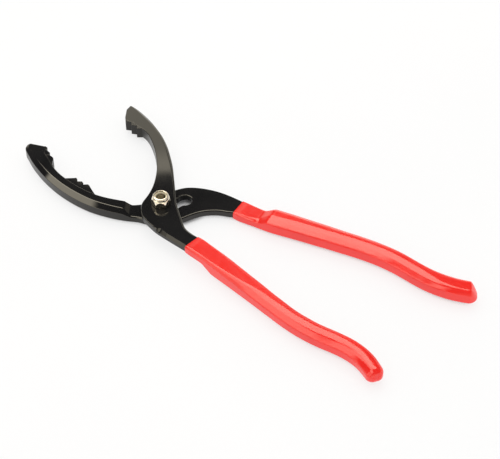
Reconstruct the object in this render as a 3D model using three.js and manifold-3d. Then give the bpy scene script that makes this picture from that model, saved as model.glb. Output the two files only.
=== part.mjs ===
// Adjustable oil filter wrench: two lapped levers with curved, toothed jaws, dipped
// vinyl handle grips, and one pivot bolt with a prevailing-torque lock nut.
// Frame, in millimetres: the origin is on the pivot axis, on the lowest face of the bolt
// head. +Z runs up the bolt, towards the nut. +X runs towards the handle ends, and the
// jaws lie towards +Y.
import * as THREE from "three";
import { mergeVertices } from "three/addons/utils/BufferGeometryUtils.js";
import Module from "manifold-3d";

const wasm = await Module();
wasm.setup();

// ---- driving dimensions ----------------------------------------------------------
const HEAD_T = 3.0; // bolt head, and the height of the lower lever's flush face
const PLATE_T = 5.2; // each lever where the two are lapped
const JAW_T = 9.3; // each lever along its jaw
const BAR_T = 10.0; // steel core of each handle
const LAP_GAP = 0.08; // running gap between the lapped plates

// Heights of the levers
const LOW0 = HEAD_T; // lower lever, flush face
const LOW_PLATE = LOW0 + PLATE_T;
const LOW_JAW = LOW0 + JAW_T;
const LOW_BAR = LOW0 + BAR_T;
const UP0 = LOW_PLATE + LAP_GAP; // upper lever, lapped face
const UP1 = UP0 + PLATE_T; // upper lever, flush face
const UP_JAW = UP1 - JAW_T;
const UP_BAR = UP1 - BAR_T;

const EDGE = 0.55; // plain edge break on a lever's outer edge
const INNER_EDGE = 0.5; // edge break on a lever's inner edge
const TOOTH_CHAMFER = 0.35;
const OVERSHOOT = 1; // cutters run past a face, and joined parts run into each other

// Adjustment slot: round pockets joined by a straight channel
const POCKET_R = 5.45;
const POCKET_PITCH = 9.8;
const POCKETS = 3;
const POCKET_CHAMFER = 0.6; // 45 degrees, on the top rim
const CHAMFER_OVERLAP = 0.3; // cone run on past both ends of that chamfer
const CHANNEL_HALF = 4.45;
const SLOT_ANGLE = 28.3;

// ---- small solid kit -------------------------------------------------------------
const radians = (degrees) => (degrees * Math.PI) / 180;

function toSolid(geometry) {
  geometry.deleteAttribute("normal");
  geometry.deleteAttribute("uv");
  const merged = mergeVertices(geometry, 1e-4);
  return new wasm.Manifold(
    new wasm.Mesh({
      numProp: 3,
      vertProperties: new Float32Array(merged.attributes.position.array),
      triVerts: new Uint32Array(merged.index.array),
    }),
  );
}

function toGeometry(solid) {
  const mesh = solid.getMesh();
  const positions = new Float32Array(mesh.vertProperties);
  const geometry = new THREE.BufferGeometry();
  geometry.setAttribute("position", new THREE.BufferAttribute(positions, 3));
  geometry.setIndex(new THREE.BufferAttribute(new Uint32Array(mesh.triVerts), 1));
  return geometry;
}

// A closed solid through rings of [x, y, z], each ring convex and the same length.
function loft(rings) {
  const count = rings[0].length;
  const positions = rings.flat(2);
  const triangles = [];
  for (let i = 0; i + 1 < rings.length; i++) {
    for (let j = 0; j < count; j++) {
      const a = i * count + j;
      const b = i * count + ((j + 1) % count);
      triangles.push(a, b, b + count, a, b + count, a + count);
    }
  }
  const last = (rings.length - 1) * count;
  for (let j = 1; j + 1 < count; j++) {
    triangles.push(0, j + 1, j);
    triangles.push(last, last + j, last + j + 1);
  }

  // Rings may run either way round, so the signed volume decides the winding.
  const vertex = (k) => new THREE.Vector3().fromArray(positions, 3 * k);
  let volume = 0;
  for (let i = 0; i < triangles.length; i += 3) {
    const [a, b, c] = triangles.slice(i, i + 3).map(vertex);
    volume += a.dot(b.cross(c));
  }
  if (volume < 0) {
    for (let i = 0; i < triangles.length; i += 3) {
      [triangles[i + 1], triangles[i + 2]] = [triangles[i + 2], triangles[i + 1]];
    }
  }
  const geometry = new THREE.BufferGeometry();
  geometry.setAttribute("position", new THREE.Float32BufferAttribute(positions, 3));
  geometry.setIndex(triangles);
  return toSolid(geometry);
}

// Straight prism over a plan outline, with an optional chamfer on both rims.
function prism(points, z0, z1, chamfer = 0) {
  const shape = new THREE.Shape(points.map(([x, y]) => new THREE.Vector2(x, y)));
  const geometry = new THREE.ExtrudeGeometry(shape, {
    depth: z1 - z0 - 2 * chamfer,
    bevelEnabled: chamfer > 0,
    bevelThickness: chamfer,
    bevelSize: chamfer,
    bevelOffset: -chamfer,
    bevelSegments: 1,
  });
  geometry.translate(0, 0, z0 + chamfer);
  return toSolid(geometry);
}

// Upright cylinder or cone; r0 is the radius at z0 and r1 the radius at z1.
function cylinder(r0, r1, z0, z1, segments, [x, y] = [0, 0]) {
  const geometry = new THREE.CylinderGeometry(r1, r0, z1 - z0, segments, 1);
  geometry.rotateX(Math.PI / 2);
  geometry.translate(x, y, (z0 + z1) / 2);
  return toSolid(geometry);
}

// Solid of revolution about Z. The profile is [radius, height above base], and its
// outer side runs upwards.
function turned(profile, base = 0) {
  const points = profile.map(([r, z]) => new THREE.Vector2(r, base + z));
  const geometry = new THREE.LatheGeometry(points, 48);
  geometry.rotateX(Math.PI / 2);
  return toSolid(geometry);
}

// Doubles the stations of a table: Catmull-Rom on the first four columns, which set the
// plan, and linear on the rest.
const SPAN_STEPS = 2;
const PLAN_COLUMNS = 4;

function catmullRom(a, b, c, d, t) {
  const linear = (c - a) * t;
  const square = (2 * a - 5 * b + 4 * c - d) * t * t;
  const cube = (3 * b - a - 3 * c + d) * t * t * t;
  return 0.5 * (2 * b + linear + square + cube);
}

function resample(rows) {
  const end = rows.length - 1;
  const out = [];
  for (let i = 0; i < end; i++) {
    const before = rows[Math.max(i - 1, 0)];
    const from = rows[i];
    const to = rows[i + 1];
    const after = rows[Math.min(i + 2, end)];
    for (let k = 0; k < SPAN_STEPS; k++) {
      const t = k / SPAN_STEPS;
      out.push(
        from.map((value, j) =>
          j < PLAN_COLUMNS
            ? catmullRom(before[j], value, to[j], after[j], t)
            : value + (to[j] - value) * t,
        ),
      );
    }
  }
  out.push(rows[end]);
  return out;
}

// ---- station tables ----------------------------------------------------------------
// Ends every row of a table with the same columns.
const withTail = (rows, ...tail) => rows.map((row) => [...row, ...tail]);

// Lever station: outer edge x, y; inner edge x, y; top bevel width, drop; bottom bevel
// width, drop; bottom z, top z. The inner edge is the one facing the other jaw, and the
// name stays with that edge past the pivot. Both bevels are on the outer edge.
const LOWER_BEVELS = [0.9, 0.6, EDGE, EDGE]; // lower plate, and both levers at the grip
const UPPER_BEVELS = [1.0, 0.6, EDGE, EDGE];

const lowerJaw = withTail(
  [
    [-106.8, 71.9, -93.4, 67.9, 1.2, 0.8],
    [-109.3, 68.2, -92.6, 64.8, 2.8, 1.5],
    [-107.4, 62.4, -93.2, 60.9, 3.6, 2.0],
    [-103.8, 54.8, -90.4, 55.2, 3.9, 2.1],
    [-99.9, 47.6, -87.8, 49.6, 4.0, 2.1],
    [-95.6, 40.8, -85.2, 44.2, 4.0, 2.1],
    [-91.0, 34.2, -81.9, 39.0, 4.0, 2.1],
    [-85.6, 27.5, -77.8, 33.8, 4.1, 2.1],
    [-79.6, 20.9, -72.6, 28.6, 4.3, 2.1],
    [-72.7, 14.4, -66.4, 22.9, 4.5, 2.1],
    [-65.4, 8.5, -59.6, 17.6, 4.6, 2.1],
    [-57.4, 3.0, -52.6, 13.0, 4.6, 2.1],
    [-49.0, -1.5, -45.3, 9.5, 4.6, 2.1],
    [-40.3, -5.0, -37.6, 6.8, 4.6, 2.1],
    [-33.6, -7.2, -31.6, 5.2, 4.5, 2.1],
    [-28.6, -8.5, -27.6, 4.2, 4.4, 2.1],
  ],
  EDGE, EDGE, LOW0, LOW_JAW,
);
const lowerPlate = withTail(
  [
    [-22.6, -9.6, -22.0, 4.0], [-16.6, -10.6, -16.0, 4.6],
    [-11.5, -12.6, -11.2, 5.9], [-5.5, -15.0, -6.0, 9.6],
    [1.5, -15.9, 0.0, 14.8], [8.5, -14.7, 5.6, 19.0],
    [14.5, -12.0, 11.6, 21.9], [19.7, -9.0, 17.0, 23.7],
    [24.8, -6.1, 22.8, 24.0], [31.2, -3.7, 29.6, 23.1],
    [38.4, -2.8, 37.6, 20.9], [44.8, -3.2, 45.4, 17.6],
    [49.6, -4.4, 53.2, 13.0],
  ],
  ...LOWER_BEVELS, LOW0, LOW_PLATE,
);

const upperJaw = withTail(
  [
    [-29.8, 118.2, -33.0, 112.7, 0.6, 0.5, 0.8, 0.6],
    [-25.6, 114.9, -33.3, 106.4, 1.4, 0.9, 2.4, 1.4],
    [-20.6, 109.3, -32.7, 99.3, 1.8, 1.1, 3.6, 2.0],
    [-16.2, 103.6, -27.8, 96.6, 2.0, 1.2, 3.9, 2.1],
    [-11.8, 97.0, -23.4, 91.9, 2.0, 1.2, 4.0, 2.1],
    [-8.0, 90.2, -18.4, 87.6, 2.0, 1.2, 4.0, 2.1],
    [-3.8, 81.9, -13.3, 79.6, 2.0, 1.2, 4.0, 2.1],
    [0.0, 72.4, -9.9, 70.0, 2.0, 1.2, 4.0, 2.1],
    [2.8, 63.0, -7.6, 61.0, 2.0, 1.2, 4.2, 2.1],
    [5.0, 53.2, -6.2, 52.0, 2.0, 1.2, 4.4, 2.1],
    [6.6, 45.0, -5.4, 44.4, 1.8, 1.1, 4.4, 2.1],
    [7.5, 38.4, -5.2, 38.2, 1.5, 1.0, 4.4, 2.1],
  ],
  UP_JAW, UP1,
);
const upperPlate = [
  [8.2, 31.8, -5.5, 31.8, 1.2, 0.8, EDGE, EDGE, UP0, UP1],
  ...withTail(
    [
      [8.9, 25.0, -6.2, 25.2], [9.6, 18.4, -7.4, 18.8],
      [10.1, 12.2, -9.3, 12.2], [10.7, 6.2, -12.0, 5.8],
      [11.5, 0.4, -14.5, -0.2], [12.9, -5.6, -14.6, -7.2],
      [14.4, -11.4, -13.0, -14.2], [15.8, -16.6, -8.4, -20.8],
      [17.0, -21.4, -4.0, -26.4], [17.9, -24.4, -1.2, -29.3],
      [19.0, -27.0, 2.2, -32.4], [21.6, -30.4, 6.6, -36.2],
      [25.0, -33.8, 12.0, -40.8],
    ],
    ...UPPER_BEVELS, UP0, UP1,
  ),
];

// Handle core station, from the mouth of the grip to its end: centre x, y; direction in
// degrees; width; bottom z, top z.
const lowerCore = [
  ...withTail(
    [
      [57.3, 1.3, -30, 14.4], [64.0, -3.2, -30, 13.5],
      [71.5, -7.6, -29, 13.0], [74.8, -9.4, -27, 13.3],
    ],
    LOW0, LOW_PLATE,
  ),
  ...withTail(
    [
      [81.8, -12.9, -24, 15.0], [89.0, -16.1, -24, 15.4],
      [98.8, -20.5, -24, 15.0], [107.2, -24.3, -24.3, 14.6],
      [116.2, -28.4, -24.5, 14.4], [125.1, -32.5, -24.8, 13.9],
      [135.2, -37.3, -25, 13.5], [143.4, -41.1, -25.5, 13.3],
      [153.8, -46.4, -29, 13.1], [163.6, -52.3, -33, 12.9],
      [171.8, -58.3, -38.5, 12.7], [179.6, -65.0, -41, 12.4],
      [186.4, -71.0, -39, 12.4], [193.2, -76.1, -34, 12.8],
      [201.6, -80.9, -27, 13.2], [208.9, -84.2, -20, 13.1],
      [215.6, -86.4, -15, 12.9], [220.6, -87.6, -7, 12.8],
    ],
    LOW0, LOW_BAR,
  ),
];
const upperCore = [
  ...withTail(
    [[24.1, -42.0, -43, 13.4], [30.4, -47.9, -43.5, 13.0], [36.6, -54.0, -45, 12.8]],
    UP0, UP1,
  ),
  ...withTail(
    [
      [43.6, -61.0, -47, 13.1], [51.9, -69.7, -47, 12.8],
      [59.1, -77.3, -46.8, 12.4], [65.5, -84.2, -47, 12.1],
      [72.5, -91.7, -47, 11.8], [79.0, -98.9, -47.5, 11.4],
      [85.9, -106.2, -46, 11.2], [91.9, -112.5, -44, 11.0],
      [99.0, -119.0, -40, 11.2], [106.0, -124.6, -36.5, 11.2],
      [114.3, -130.2, -32.5, 11.3], [123.4, -135.5, -31.5, 11.2],
      [132.6, -141.7, -37, 11.2], [139.8, -148.5, -47, 11.2],
      [144.4, -154.9, -57, 11.2], [148.1, -162.4, -72, 10.9],
    ],
    UP_BAR, UP1,
  ),
];

// Plan outlines of the teeth, x and y
const lowerTeeth = [
  // three stepped teeth near the tip
  [[-93.3, 68.0], [-91.7, 66.4], [-92.0, 64.0], [-93.4, 63.0], [-97, 62], [-98, 68]],
  [
    [-92.6, 63.4], [-90.9, 62.3], [-89.2, 60.4], [-89.0, 58.6], [-90.2, 57.2],
    [-95, 57], [-96, 62],
  ],
  [
    [-89.8, 57.4], [-87.7, 56.3], [-85.9, 54.1], [-85.6, 52.0], [-86.2, 49.6],
    [-86.0, 46.8], [-85.0, 44.0], [-90, 44], [-94, 52],
  ],
  // three stepped teeth at the middle of the jaw
  [
    [-74.2, 29.9], [-67.0, 30.3], [-65.9, 30.6], [-65.0, 28.6], [-64.7, 25.4],
    [-66, 20], [-75, 26],
  ],
  [[-65.3, 26.4], [-61.2, 26.3], [-60.1, 24.4], [-59.8, 21.8], [-62, 16], [-67, 21]],
  [
    [-60.4, 22.6], [-56.4, 23.0], [-55.0, 21.2], [-54.0, 18.2], [-50.2, 11.6],
    [-54, 10], [-62, 16],
  ],
];
const upperTeeth = [
  [[-33.2, 102.0], [-32.8, 97.6], [-28.1, 96.8], [-26, 101], [-29, 104]],
  [[-28.3, 98.0], [-28.1, 92.7], [-23.7, 92.0], [-21, 96], [-25, 100]],
  [[-23.8, 93.0], [-23.6, 88.3], [-17.8, 88.2], [-15.5, 85.4], [-12, 87], [-17, 94]],
];

// ---- station rings -----------------------------------------------------------------
// Eight points around one lever station.
function leverRing(station) {
  const [outerX, outerY, innerX, innerY, topWidth, topDrop, lowWidth, lowDrop, z0, z1] =
    station;
  const width = Math.hypot(innerX - outerX, innerY - outerY);
  const ux = (innerX - outerX) / width;
  const uy = (innerY - outerY) / width;
  const at = (inward, z) => [outerX + ux * inward, outerY + uy * inward, z];
  return [
    at(lowWidth, z0),
    at(width - INNER_EDGE, z0),
    at(width, z0 + INNER_EDGE),
    at(width, z1 - INNER_EDGE),
    at(width - INNER_EDGE, z1),
    at(topWidth, z1),
    at(0, z1 - topDrop),
    at(0, z0 + lowDrop),
  ];
}

// Rounded rectangle around a handle station, grown on every side; each corner is an arc
// of so many steps.
function coreRing([cx, cy, degrees, width, z0, z1], grow, radius, arcSteps) {
  const MIN_FLAT = 0.2; // least half-length of a side between corners
  const nx = -Math.sin(radians(degrees));
  const ny = Math.cos(radians(degrees));
  const halfWidth = width / 2 + grow;
  const halfHeight = (z1 - z0) / 2 + grow;
  const r = Math.min(radius, halfHeight - MIN_FLAT, halfWidth - MIN_FLAT);
  const points = [];
  for (let quarter = 0; quarter < 4; quarter++) {
    const sideSign = quarter === 0 || quarter === 3 ? 1 : -1;
    const zSign = quarter < 2 ? 1 : -1;
    for (let k = 0; k <= arcSteps; k++) {
      const angle = ((quarter + k / arcSteps) * Math.PI) / 2;
      const across = sideSign * (halfWidth - r) + r * Math.cos(angle);
      const z = (z0 + z1) / 2 + zSign * (halfHeight - r) + r * Math.sin(angle);
      points.push([cx + nx * across, cy + ny * across, z]);
    }
  }
  return points;
}

// Ring of the steel core: small chamfers where it is thin, large ones where it is thick.
function steelRing(station, grow) {
  const THICK_ABOVE = 7;
  const thickness = station[5] - station[4];
  return coreRing(station, grow, thickness > THICK_ABOVE ? 2.6 : 0.9, 1);
}

// A handle station moved along its own direction, and widened.
function shifted([x, y, degrees, width, z0, z1], distance, widen = 0) {
  const angle = radians(degrees);
  return [
    x + Math.cos(angle) * distance,
    y + Math.sin(angle) * distance,
    degrees,
    width + widen,
    z0,
    z1,
  ];
}

// ---- levers ------------------------------------------------------------------------
const LOWER_SIDE = -1; // outer edge, to the right of the handle's direction
const UPPER_SIDE = 1; // outer edge, to the left of it

// Last plate station, just short of the mouth of the grip.
function mouthStation(core, side) {
  const [x, y, degrees, width, z0, z1] = shifted(core, -0.1);
  const nx = (-Math.sin(radians(degrees)) * side * width) / 2;
  const ny = (Math.cos(radians(degrees)) * side * width) / 2;
  return [x + nx, y + ny, x - nx, y - ny, ...LOWER_BEVELS, z0, z1];
}

// Jaw and plate in one loft with a sloped step between, joined to the handle core, with
// the teeth added.
function leverBlank({ jaw, plate, core, side, teeth, z0, z1 }) {
  const plateToGrip = [...plate, mouthStation(core[0], side)];
  const body = loft([...resample(jaw), ...resample(plateToGrip)].map(leverRing));
  const root = steelRing(shifted(core[0], -6, 0.6), -0.3); // runs back into the plate
  const bar = loft([root, ...resample(core).map((station) => steelRing(station, 0))]);
  return teeth.reduce(
    (solid, tooth) => solid.add(prism(tooth, z0, z1, TOOTH_CHAMFER)),
    body.add(bar),
  );
}

const slotX = Math.cos(radians(SLOT_ANGLE));
const slotY = Math.sin(radians(SLOT_ANGLE));

// Plan point at a distance along and across the slot, from the pivot.
const slotPoint = (along, across = 0) => [
  slotX * along - slotY * across,
  slotY * along + slotX * across,
];

const slotStrip = (start, end, half) => [
  slotPoint(start, -half),
  slotPoint(end, -half),
  slotPoint(end, half),
  slotPoint(start, half),
];

function buildLowerLever() {
  let lever = leverBlank({
    jaw: lowerJaw,
    plate: lowerPlate,
    core: lowerCore,
    side: LOWER_SIDE,
    teeth: lowerTeeth,
    z0: LOW0,
    z1: LOW_JAW,
  });
  const cut0 = LOW0 - OVERSHOOT;
  const cut1 = LOW_PLATE + OVERSHOOT;
  const coneReach = POCKET_CHAMFER + CHAMFER_OVERLAP;
  for (let i = 0; i < POCKETS; i++) {
    const centre = slotPoint(i * POCKET_PITCH);
    const pocket = cylinder(POCKET_R, POCKET_R, cut0, cut1, 40, centre);
    const chamfer = cylinder(
      POCKET_R - CHAMFER_OVERLAP,
      POCKET_R + coneReach,
      LOW_PLATE - coneReach,
      LOW_PLATE + CHAMFER_OVERLAP,
      40,
      centre,
    );
    lever = lever.subtract(pocket).subtract(chamfer);
  }
  const channel = slotStrip(0, (POCKETS - 1) * POCKET_PITCH, CHANNEL_HALF);
  return lever.subtract(prism(channel, cut0, cut1));
}

// Wide bevel on the top rim of the upper plate, along its inner edge from below the pivot
// (-Y) to the handle: edge x, y; width of the bevel into the plate.
const wideBevel = [
  [-1.0, -27.9, 2.2],
  [0.6, -30.4, 2.1],
  [4.9, -34.8, 2.0],
  [9.5, -38.7, 2.0],
  [14.1, -42.6, 2.0],
  [18.9, -46.7, 1.9],
  [20.5, -48.3, 1.8],
];
const BEVEL_OUTSIDE = 2; // reach of the cutter outside the edge
const BEVEL_CUT_DEPTH = 3.8; // depth of the cutter at that reach

function wideBevelCutter() {
  const rings = wideBevel.map(([x, y, width], i) => {
    const [x0, y0] = wideBevel[Math.max(i - 1, 0)];
    const [x1, y1] = wideBevel[Math.min(i + 1, wideBevel.length - 1)];
    const length = Math.hypot(x1 - x0, y1 - y0);
    const nx = -(y1 - y0) / length;
    const ny = (x1 - x0) / length;
    const at = (inward, z) => [x + nx * inward, y + ny * inward, z];
    return [
      at(width, UP1),
      at(width, UP1 + OVERSHOOT),
      at(-BEVEL_OUTSIDE, UP1 + OVERSHOOT),
      at(-BEVEL_OUTSIDE, UP1 - BEVEL_CUT_DEPTH),
    ];
  });
  return loft(rings);
}

const HOLE_R = 4.08;

function buildUpperLever() {
  const blank = leverBlank({
    jaw: upperJaw,
    plate: upperPlate,
    core: upperCore,
    side: UPPER_SIDE,
    teeth: upperTeeth,
    z0: UP_JAW,
    z1: UP1,
  });
  const hole = cylinder(HOLE_R, HOLE_R, UP0 - OVERSHOOT, UP1 + OVERSHOOT, 48);
  return blank.subtract(wideBevelCutter()).subtract(hole);
}

// ---- grips -------------------------------------------------------------------------
const COAT = 1.0; // vinyl thickness
const COAT_GAP = 0.12; // between vinyl and steel
const COAT_LIP = [0.55, 0.75, 0.9]; // thinner coat on the first stations, at the mouth
const THIN_CORNER = 1.8; // corner radius of the grip over the plate thickness
const CORNER_GAIN = 2.3; // and what it gains over the full bar thickness
// Rounded end: distance past the last station, growth past the core
const GRIP_END = [
  [1.6, COAT - 0.15],
  [2.7, COAT - 0.9],
  [3.4, COAT - 2.0],
  [3.7, COAT - 3.3],
];

// The core's own stations grown by the coat, and hollowed by the core grown by the gap.
function buildGrip(core) {
  const stations = resample(core);
  const first = stations[0];
  const last = stations[stations.length - 1];
  const coatRing = (station, grow, source = station) => {
    const extra = source[5] - source[4] - PLATE_T;
    const radius = THIN_CORNER + (CORNER_GAIN * extra) / (BAR_T - PLATE_T);
    return coreRing(station, grow, radius, 3);
  };
  const outer = [
    ...stations.map((station, i) => coatRing(station, COAT_LIP[i] ?? COAT)),
    ...GRIP_END.map(([distance, grow]) => coatRing(shifted(last, distance), grow)),
  ];
  const hollow = [shifted(first, -3), ...stations, shifted(last, 0.35)];
  return loft(outer).subtract(loft(hollow.map((station) => steelRing(station, COAT_GAP))));
}

// ---- fastener ----------------------------------------------------------------------
const THREAD_R = 4.0; // M8
const BOLT_HEAD_R = 8.0;
const HEAD_TOP = HEAD_T - 0.06; // just clear of the lower lever
const NECK_R = 5.3; // keyed neck that rides in the slot, round ends
const NECK_HALF = 4.35; // and its two flats
const NECK_REACH = 8; // half-length of the strip that cuts the flats
const NECK_TOP = LOW_PLATE - 0.1;

const NUT_AF = 13.0; // across flats
const NUT_CORNER_R = NUT_AF / 2 / Math.cos(Math.PI / 6);
const NUT_H = 8.0;
const NUT_HEX_H = 6.3;
const NUT_CHAMFER_H = 0.75;
const NUT0 = UP1 + 0.05; // seat of the nut, just clear of the upper lever
const BORE_R = 4.12;

// Nylon insert; heights are above the nut's seat
const INSERT_LOW = 5.3;
const INSERT_HIGH = 7.35;
const INSERT_R = 5.05;
const INSERT_BORE_R = 3.45;
const INSERT_GAP = 0.1; // all round the insert, in the nut

function buildBolt() {
  const head = turned([
    [0, 0],
    [BOLT_HEAD_R - 1.0, 0],
    [BOLT_HEAD_R, 0.9],
    [BOLT_HEAD_R, HEAD_TOP],
    [0, HEAD_TOP],
  ]);
  const neckRound = cylinder(NECK_R, NECK_R, HEAD_T - OVERSHOOT, NECK_TOP, 48);
  const neckFlats = prism(
    slotStrip(-NECK_REACH, NECK_REACH, NECK_HALF),
    HEAD_T - 2 * OVERSHOOT,
    LOW_PLATE + OVERSHOOT,
  );
  // The shank starts inside the head and ends in a narrow tip inside the insert.
  const insert0 = NUT0 + INSERT_LOW;
  const shank = turned([
    [0, 1],
    [THREAD_R, 1],
    [THREAD_R, insert0 - 0.15],
    [3.3, insert0 - 0.15],
    [3.3, insert0 + 0.9],
    [2.6, insert0 + 1.5],
    [0, insert0 + 1.5],
  ]);
  return head.add(neckRound.intersect(neckFlats)).add(shank);
}

function buildNut() {
  const hexagon = [];
  for (let i = 0; i < 6; i++) {
    const angle = (i * Math.PI) / 3;
    hexagon.push([NUT_CORNER_R * Math.cos(angle), NUT_CORNER_R * Math.sin(angle)]);
  }
  // chamfered hexagon corners, and the rolled collar over the insert
  const envelopeR = NUT_CORNER_R + 0.1;
  const envelope = turned(
    [
      [0, 0],
      [6.35, 0],
      [envelopeR, NUT_CHAMFER_H],
      [envelopeR, NUT_HEX_H - NUT_CHAMFER_H],
      [6.25, NUT_HEX_H + 0.05],
      [6.0, NUT_HEX_H + 0.1],
      [5.95, NUT_H - 1.0],
      [5.6, NUT_H - 0.35],
      [5.1, NUT_H],
      [0, NUT_H],
    ],
    NUT0,
  );
  // countersunk bore, the wider seat of the insert, and the collar's mouth
  const bore = turned(
    [
      [0, -OVERSHOOT],
      [4.7, -OVERSHOOT],
      [4.7, 0],
      [BORE_R, 0.55],
      [BORE_R, INSERT_LOW - INSERT_GAP],
      [INSERT_R + INSERT_GAP, INSERT_LOW - INSERT_GAP],
      [INSERT_R + INSERT_GAP, INSERT_HIGH + INSERT_GAP],
      [4.6, INSERT_HIGH + INSERT_GAP],
      [4.6, NUT_H + OVERSHOOT],
      [0, NUT_H + OVERSHOOT],
    ],
    NUT0,
  );
  return prism(hexagon, NUT0, NUT0 + NUT_H).intersect(envelope).subtract(bore);
}

function buildInsert() {
  const chamfer = 0.5; // on the top rim of the bore
  return turned(
    [
      [INSERT_BORE_R, INSERT_LOW],
      [INSERT_R, INSERT_LOW],
      [INSERT_R, INSERT_HIGH],
      [INSERT_BORE_R + chamfer, INSERT_HIGH],
      [INSERT_BORE_R, INSERT_HIGH - chamfer],
      [INSERT_BORE_R, INSERT_LOW],
    ],
    NUT0,
  );
}

// ---- assembly ----------------------------------------------------------------------
const finishes = {
  coated: { color: 0x26241f, roughness: 0.28, metalness: 0.25 },
  vinyl: { color: 0xe23a2c, roughness: 0.3, metalness: 0.0 },
  plated: { color: 0xc9bfa9, roughness: 0.25, metalness: 1.0 },
  bolt: { color: 0x8f877a, roughness: 0.35, metalness: 1.0 },
  nylon: { color: 0xe8e2d2, roughness: 0.5, metalness: 0.0 },
};

const group = new THREE.Group();

function addPiece(name, solid, finish) {
  const material = new THREE.MeshStandardMaterial(finish);
  const mesh = new THREE.Mesh(toGeometry(solid), material);
  mesh.name = name;
  group.add(mesh);
}

addPiece("lower_lever", buildLowerLever(), finishes.coated);
addPiece("upper_lever", buildUpperLever(), finishes.coated);
addPiece("lower_grip", buildGrip(lowerCore), finishes.vinyl);
addPiece("upper_grip", buildGrip(upperCore), finishes.vinyl);
addPiece("pivot_bolt", buildBolt(), finishes.bolt);
addPiece("lock_nut", buildNut(), finishes.plated);
addPiece("nylon_insert", buildInsert(), finishes.nylon);

export default group;
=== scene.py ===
"""Looks of an adjustable oil filter wrench: two crossed steel levers with toothed jaws and
dipped grips, held by a bolt and a lock nut.

The origin is on the pivot axis, on the lower face of the bolt head. +Z runs up the bolt and
+X towards the handle ends. Meshes are built in millimetres and brought to metres by tidy();
lights, camera and shader places are in metres.
"""

import math

import bmesh
import bpy
import numpy as np
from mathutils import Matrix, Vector, noise


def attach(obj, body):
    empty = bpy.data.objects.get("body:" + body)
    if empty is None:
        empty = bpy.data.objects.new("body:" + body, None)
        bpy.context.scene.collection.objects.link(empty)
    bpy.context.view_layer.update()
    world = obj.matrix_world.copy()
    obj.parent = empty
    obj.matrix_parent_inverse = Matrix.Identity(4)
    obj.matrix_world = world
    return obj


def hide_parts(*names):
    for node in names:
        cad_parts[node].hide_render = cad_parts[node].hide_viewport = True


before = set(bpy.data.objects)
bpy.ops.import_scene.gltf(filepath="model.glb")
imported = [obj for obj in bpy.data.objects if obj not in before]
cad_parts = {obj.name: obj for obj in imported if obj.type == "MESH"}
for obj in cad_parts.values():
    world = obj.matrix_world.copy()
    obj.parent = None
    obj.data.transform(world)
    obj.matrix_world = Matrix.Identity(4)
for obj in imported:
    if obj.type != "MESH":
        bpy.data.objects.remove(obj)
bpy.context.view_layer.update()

# ---- sizes, in millimetres -------------------------------------------------------------
MM = 0.001  # metres in a millimetre
HEAD_T = 3.0
PLATE_T = 5.2
JAW_T = 9.3
BAR_T = 10.0

# heights of the stack, from the bolt head up
LOW0 = HEAD_T
LOW_PLATE = LOW0 + PLATE_T
LOW_JAW = LOW0 + JAW_T
LOW_BAR = LOW0 + BAR_T
UP0 = LOW_PLATE + 0.08
UP1 = UP0 + PLATE_T
UP_JAW0 = UP1 - JAW_T
UP_BAR0 = UP1 - BAR_T
NUT0 = UP1 + 0.05
INSERT0 = NUT0 + 5.3
INSERT1 = NUT0 + 7.35

# slot of the lower lever: round pockets joined by a narrower straight channel
SLOT_ANGLE = math.radians(28.3)
SLOT_DIR = (math.cos(SLOT_ANGLE), math.sin(SLOT_ANGLE))
POCKET_R = 5.45
POCKET_PITCH = 9.8
POCKETS = 3
SLOT_LENGTH = POCKET_PITCH * (POCKETS - 1)
CHANNEL_HALF = 4.45
SLOT_FLARE = 0.7
HOLE_R = 4.08
HOLE_FLARE = 0.4

NECK_R = 5.3
NECK_HALF = 4.35
SHANK_R = 4.0
TIP_R = 3.3
NUT_FLAT_R = 6.5

COAT = 1.0  # outside of the grip above the steel's outline
LIP_COAT = 0.55  # the same at the mouth
COAT_GAP = 0.12  # inside of the grip above the outline
STEEL_SHRINK = 0.12  # steel inside the grip, below the outline
EDGE = 0.55  # small bevel, both width and drop
INNER_BEVEL = 0.45
LEVER_SOFT = 0.34
STATION_GAP = 0.8  # spacing of the rings along a lever or grip
CUT_PAST = 1  # how far a cutter runs past the plate

TOOTH_RIM = 0.3
TOOTH_CORNER = 0.22
TOOTH_INSET = 0.03  # keeps tooth faces off the jaw's faces
TOOTH_STAGGER = 0.013  # and off each other's


# ---- levers: outlines and stations -----------------------------------------------------
def stations(rows, bottom, top, *bevels):
    """Rows with the heights put in after the fourth column and shared bevels at the end."""
    return [(*row[:4], bottom, top, *row[4:], *bevels) for row in rows]


# Jaw: outer edge x, y; inner edge x, y; top bevel on the outer edge as width, drop.
LOWER_JAW = [
    (-106.8, 71.9, -93.4, 67.9, 1.2, 0.8), (-109.3, 68.2, -92.6, 64.8, 2.8, 1.5),
    (-107.4, 62.4, -93.2, 60.9, 3.6, 2.0), (-103.8, 54.8, -90.4, 55.2, 3.9, 2.1),
    (-99.9, 47.6, -87.8, 49.6, 4.0, 2.1), (-95.6, 40.8, -85.2, 44.2, 4.0, 2.1),
    (-91.0, 34.2, -81.9, 39.0, 4.0, 2.1), (-85.6, 27.5, -77.8, 33.8, 4.1, 2.1),
    (-79.6, 20.9, -72.6, 28.6, 4.3, 2.1), (-72.7, 14.4, -66.4, 22.9, 4.5, 2.1),
    (-65.4, 8.5, -59.6, 17.6, 4.6, 2.1), (-57.4, 3.0, -52.6, 13.0, 4.6, 2.1),
    (-49.0, -1.5, -45.3, 9.5, 4.6, 2.1), (-40.3, -5.0, -37.6, 6.8, 4.6, 2.1),
    (-33.6, -7.2, -31.6, 5.2, 4.5, 2.1), (-28.6, -8.5, -27.6, 4.2, 4.4, 2.1),
]
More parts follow.
